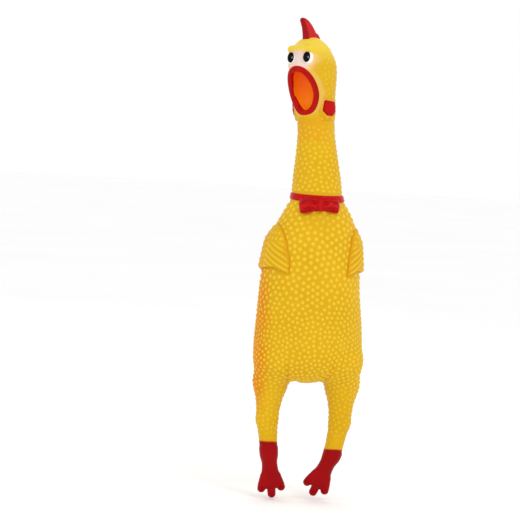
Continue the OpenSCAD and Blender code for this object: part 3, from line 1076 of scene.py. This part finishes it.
# The slanting cut between the torso and a thigh: distance sideways, height, and slant
HIP_CUT = (13, 98)
HIP_SLANT = math.radians(25)


def hip_plane(name):
    """A point of the slanting cut between torso and thigh, and the direction down the leg."""
    side = LEGS[name]["side"]
    return (side * HIP_CUT[0], 0, HIP_CUT[1]), (side * math.sin(HIP_SLANT), 0, -math.cos(HIP_SLANT))


def against(direction):
    return tuple(-v for v in direction)


def at_height(h):
    return (0, 0, h)


def bend(obj):
    """Bake obj's placement into its mesh."""
    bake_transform(obj)


def build_leg(source, vinyl, name):
    """A thigh, a shin and a foot, cut from the mesh of both legs."""
    thigh, shin, foot = name + "_thigh", name + "_shin", name + "_foot"
    side = LEGS[name]["side"]
    other_leg = ((side * 2, 0, 90), (-side, 0, 0))
    at, away = hip_plane(name)
    over_knee = (at_height(KNEE_CUT), UP)
    under_knee = (at_height(KNEE_CUT), DOWN)
    over_ankle = (at_height(ANKLE_CUT), UP)
    under_ankle = (at_height(ANKLE_CUT), DOWN)

    piece = cut_piece(source, thigh + "_skin", [other_leg, (at, against(away)), under_knee])
    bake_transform(piece)
    finish_piece(piece, vinyl, [thigh])
    piece = cut_piece(source, shin + "_skin", [other_leg, over_knee, under_ankle])
    bend(piece)
    finish_piece(piece, vinyl, [shin])
    piece = cut_piece(source, foot + "_skin", [other_leg, over_ankle])
    bend(piece)
    finish_piece(piece, vinyl, [foot])


def build_skin(vinyl):
    """The skin in pieces, cut at the collar, the neck, the head, the hips, the knees and the ankles."""
    nubs = place_nubs(mesh_field(skin, (-50, -44, -3), (50, 46, 388), 1.3)[0])
    body = skin_mesh("body_source", (-50, -44, 70), (50, 46, 306), 0.68, body_paint, nubs)
    legs = skin_mesh("legs_source", (-50, -34, -3), (50, 24, 122), 0.52, body_paint, nubs)
    top = skin_mesh("head_source", (-34, -34, 295), (26, 26, 388), 0.45, head_paint, nubs)

    torso = cut_piece(body, "torso_skin", [(at_height(COLLAR_CUT), UP)] + [hip_plane(name) for name in LEGS])
    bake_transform(torso)
    finish_piece(torso, vinyl, ["torso_shell", "belly_panel", "tail"])

    piece = cut_piece(body, "neck_lower_skin", [(at_height(COLLAR_CUT), DOWN), (at_height(NECK_CUT), UP)])
    bend(piece)
    finish_piece(piece, vinyl, ["neck_lower"])
    piece = cut_piece(body, "neck_upper_skin", [(at_height(NECK_CUT), DOWN), (at_height(HEAD_CUT), UP)])
    bend(piece)
    finish_piece(piece, vinyl, ["neck_upper"])
    piece = cut_piece(top, "head_skin", [(at_height(HEAD_CUT), DOWN)])
    bend(piece)
    finish_piece(piece, vinyl, ["head_shell", "brow"])

    for name in LEGS:
        build_leg(legs, vinyl, name)
    for source in (body, legs, top):
        bpy.data.objects.remove(source)


def head_box(low, high):
    """A box in the row's directions round a box in the head's own."""
    corners = [from_head(*corner) for corner in itertools.product(*zip(low, high))]
    return np.min(corners, axis=0), np.max(corners, axis=0)


def add(name, field, box, voxel, material, nodes, body, paint=None):
    """A piece of its own, from a field inside a box, that rides on one body."""
    points, quads = mesh_field(field, *box, voxel)
    obj = new_object(name, points, quads, paint(points) if paint else None)
    finish_piece(obj, material, nodes)
    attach(obj, body)


def build_dress(vinyl, red):
    """Wings, collar and bow tie."""
    for name, side in (("left", -1), ("right", 1)):
        box = ((side * 28 - 26, -38, 182), (side * 28 + 26, 30, 236))
        node = name + "_wing"
        add(node + "_pad", wing(side), box, 0.5, vinyl, [node], "torso", wing_paint(side))
    ring = ((-26, -26, 246), (26, 26, 260))
    add("collar", collar, ring, 0.5, red, ["collar_band"], "torso")
    front = ((-20, -34, 234), (20, -4, 256))
    add("bow_loops", bow_loops, front, 0.4, red, ["bow_tie"], "torso", bow_fold_shade)
    add("bow_middle", bow_knot, front, 0.4, red, ["bow_knot"], "torso")


def add_to_head(name, shape, box, voxel, material, node, paint=None):
    """The same for a shape and a box in the head's own directions."""
    add(name, head_field(shape), head_box(*box), voxel, material, [node], "head", paint)


def side_box(side, inner, outer, low, high):
    """A box on one side of the head; low and high are distances to the front and the top."""
    near, far = sorted((side * inner, side * outer))
    return (near, *low), (far, *high)


def build_face(red, lip_red, wattle_red, orange, white, black):
    """Lips, mouth lining, comb, wattles and eyes."""
    mouth = ((-22, 2, 2), (22, 32, 54))
    add_to_head("lips", lips_shape, mouth, 0.45, lip_red, "lip_ring", lips_rim_shade)
    add_to_head("mouth_cup", lining_shape, mouth, 0.5, orange, "mouth_lining", lining_light_and_shade)
    box = ((-6, -8, 62), (6, 20, 90))
    add_to_head("comb_fin", comb_shape, box, 0.4, red, "comb", comb_rim_shade)
    for name, side in (("left", -1), ("right", 1)):
        node = name + "_wattle"
        box = side_box(side, 2, 24, (-12, 2), (18, 24))
        add_to_head(node + "_pad", wattle_shape(side), box, 0.4, wattle_red, node, wattle_rim_shade)
        box = side_box(side, 0, 16, (6, 46), (26, 63))
        node = name + "_eye_white"
        add_to_head(name + "_eyeball", eye_white_shape(side), box, 0.4, white, node)
        node = name + "_pupil"
        glint = pupil_glint(side)
        add_to_head(node + "_spot", pupil_shape(side), box, 0.3, black, node, glint)


def build_toenails(dark_red):
    for name in LEGS:
        _, down = foot_axes(name)
        centre = ankle(name) + down * 32
        box = (centre - [16, 8, 10], centre + [16, 2, 12])
        node = name + "_toenails"
        add(name + "_nails", toenails(name), box, 0.35, dark_red, [node], name + "_foot")


def dress_sound_unit():
    """The sound unit's CAD shapes are right, so they keep them and get better materials."""
    shell = plastic_material("squeaker_plastic", (222, 220, 208), 0.4)
    film = plastic_material("reed_plastic", (34, 34, 38), 0.3)
    for name in ("squeaker_housing", "reed_seat", "squeaker_cap", "reed_tongue"):
        set_material(frame["nodes"][name], film if name == "reed_tongue" else shell)


# ---- stage, lights and camera ----

VIEW_TURN = math.radians(-8)
VIEW_RISE = math.radians(3)
VIEW_ROLL = math.radians(3.3)
VIEW_CENTRE = (-43.6, 197.5)        # millimetres to the right of the body's axis, and above the toes
VIEW_HEIGHT = 0.4325                # metres that the picture takes in at the object
VIEW_DISTANCE = 2.0
FLOOR_R = 12                        # metres
FLOOR_GAP = 1.0                     # millimetres from the lowest toe down to the floor


def add_camera():
    """A long lens that looks a little down on the chicken, rolled so that it stands aslant in the picture."""
    data = bpy.data.cameras.new("camera")
    data.sensor_width = 36
    data.lens = data.sensor_width * VIEW_DISTANCE / VIEW_HEIGHT
    cam = bpy.data.objects.new("camera", data)
    bpy.context.scene.collection.objects.link(cam)
    right = Vector((math.cos(VIEW_TURN), math.sin(VIEW_TURN), 0))
    level_back = Vector((math.sin(VIEW_TURN), -math.cos(VIEW_TURN), 0))
    back = level_back * math.cos(VIEW_RISE) + Vector((0, 0, math.sin(VIEW_RISE)))
    up = back.cross(right)
    across, height = VIEW_CENTRE
    target = right * across * MM + Vector(to_row((0, 0, height)))
    rolled_right = right * math.cos(VIEW_ROLL) + up * math.sin(VIEW_ROLL)
    rolled_up = back.cross(rolled_right)
    cam.matrix_world = Matrix.Translation(target + back * VIEW_DISTANCE) @ Matrix(
        (rolled_right, rolled_up, back)
    ).transposed().to_4x4()
    bpy.context.scene.camera = cam


def add_light(name, place, size, power):
    """A round lamp that faces the middle of the frame."""
    data = bpy.data.lights.new(name, "AREA")
    data.shape = "DISK"
    data.size = size
    data.energy = power
    lamp = bpy.data.objects.new(name, data)
    lamp.location = place
    lamp.rotation_euler = (-Vector(place)).to_track_quat("-Z", "Y").to_euler()
    bpy.context.scene.collection.objects.link(lamp)


def add_stage():
    """A large pale floor under the toes, and an even pale surround."""
    bm = bmesh.new()
    bmesh.ops.create_circle(bm, cap_ends=True, segments=96, radius=FLOOR_R)
    mesh = bpy.data.meshes.new("floor")
    bm.to_mesh(mesh)
    bm.free()
    floor = bpy.data.objects.new("floor", mesh)
    floor.location.z = -(GRIP_H + FLOOR_GAP) * MM
    bpy.context.scene.collection.objects.link(floor)
    m = Material("floor_paper", 0.8, 0.2, place="object")
    m.paint(m.mix(m.spread(m.noise(400, 2), 0.3, 0.7), linear(252, 252, 252), linear(254, 254, 254)))
    mesh.materials.append(m.data)
    world = bpy.data.worlds.new("surround")
    world.use_nodes = True
    surround = world.node_tree.nodes["Background"]
    surround.inputs["Color"].default_value = (1, 1, 1, 1)
    surround.inputs["Strength"].default_value = 1.0
    bpy.context.scene.world = world
    add_light("key", (0.5, -1.2, 1.1), 0.5, 4.5)
    add_light("fill", (-1.1, -0.9, 0.5), 0.6, 1.2)
    add_light("back", (0.3, 1.3, 1.0), 0.9, 1.5)
    bpy.context.scene.view_settings.view_transform = "Standard"


def main():
    vinyl = skin_material()
    red = paint_material("paint_red", (188, 20, 24), (200, 32, 34), 0.26)
    cloth_red = paint_material("paint_bow_red", (178, 7, 11), (190, 13, 17), 0.16)
    lip_red = paint_material("paint_lip_red", (168, 6, 6), (180, 12, 10), 0.2, 0.08)
    wattle_red = paint_material("paint_wattle_red", (182, 6, 8), (192, 10, 12), 0.26)
    dark_red = paint_material("paint_dark_red", (142, 1, 4), (154, 2, 7), 0.26, 0.05)
    white = paint_material("paint_white", (238, 234, 230), (244, 241, 238), 0.3, 0.2)
    # the grey edge colour is the pupils' painted highlight
    black = paint_material("paint_black", (6, 5, 5), (10, 9, 9), 0.25, 0.06, 0.004, (120, 120, 122))
    build_skin(vinyl)
    build_dress(vinyl, cloth_red)
    build_face(red, lip_red, wattle_red, mouth_material(), white, black)
    build_toenails(dark_red)
    dress_sound_unit()
    add_stage()
    add_camera()


main()
